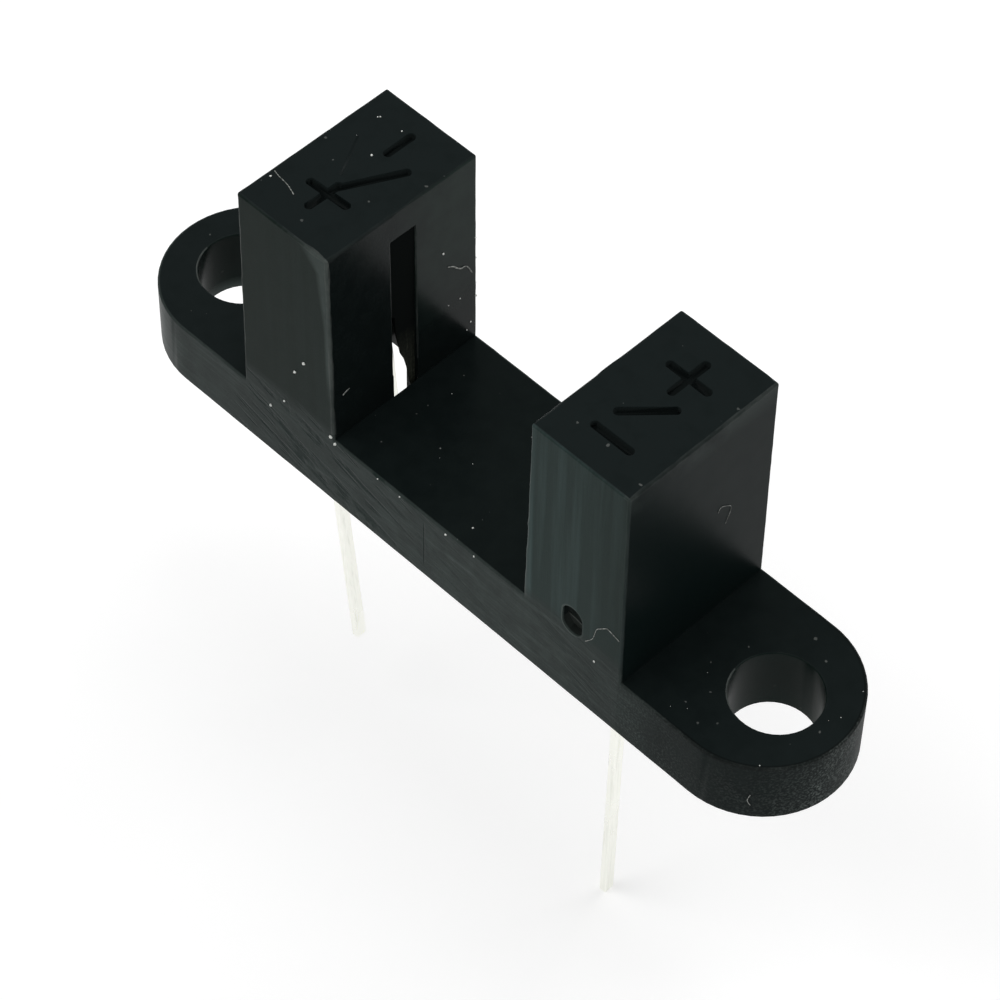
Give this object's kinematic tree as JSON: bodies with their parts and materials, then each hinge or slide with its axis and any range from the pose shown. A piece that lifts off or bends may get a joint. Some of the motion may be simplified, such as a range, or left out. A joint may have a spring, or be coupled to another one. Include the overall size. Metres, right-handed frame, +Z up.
{
  "type": "slotted optical switch",
  "caption": "Screw-down slotted optical switch: an infrared emitter and a detector face each other across a beam gap, in the hollow towers of one black moulding with through-hole leads.",
  "frame": {"origin": "centre of the seating face, midway between the two mounting holes", "axes": "+X along the beam towards the detector tower, +Y from front to back, +Z up from the seating face to the tower tops; the leads point to -Z"},
  "size_m": [0.0276, 0.006, 0.0228],
  "materials": {
    "black_resin": "satin, moulded and lightly rubbed",
    "infrared_film": "thin, dark and matt, worn olive below",
    "dark_epoxy": "gloss, infrared-passing black",
    "tinned_lead": "bright tin plate",
    "emitter_chip": "sawn chip",
    "detector_chip": "sawn chip",
    "gold_wire": "drawn"
  },
  "bodies": {
    "root": {"housing": "black_resin", "emitter_film": "infrared_film", "detector_film": "infrared_film", "emitter_body": "dark_epoxy", "emitter_anode_lead": "tinned_lead", "emitter_cathode_lead": "tinned_lead", "emitter_die": "emitter_chip", "emitter_bond_wire": "gold_wire", "detector_body": "dark_epoxy", "detector_emitter_lead": "tinned_lead", "detector_collector_lead": "tinned_lead", "detector_die": "detector_chip", "detector_bond_wire": "gold_wire"}
  },
  "joints": []
}
